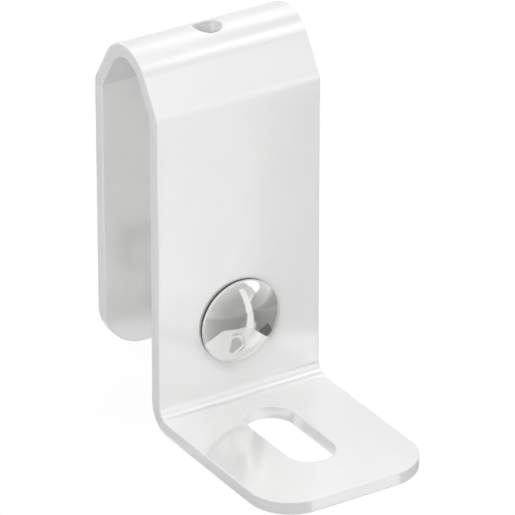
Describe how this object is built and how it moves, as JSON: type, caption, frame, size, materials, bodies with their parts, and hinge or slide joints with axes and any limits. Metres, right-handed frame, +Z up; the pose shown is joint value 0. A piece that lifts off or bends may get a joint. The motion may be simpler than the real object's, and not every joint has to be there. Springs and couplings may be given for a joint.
{
  "type": "cable tray wall bracket",
  "caption": "Folded steel strip bracket with a slotted foot, an upright wall and a deep gabled hook closed by a through bolt, for fixing cable tray or duct.",
  "frame": {"origin": "centre of the foot's slot, on the underside of the foot", "axes": "+Z up along the wall, away from the surface the foot is bolted to; -Y the way the foot points; X across the strip"},
  "size_m": [0.04, 0.081, 0.085],
  "materials": {
    "white_coat": "gloss",
    "bright_zinc": "polished"
  },
  "bodies": {
    "root": {"folded_bracket": "white_coat", "carriage_bolt": "bright_zinc", "hex_nut": "bright_zinc"}
  },
  "joints": []
}
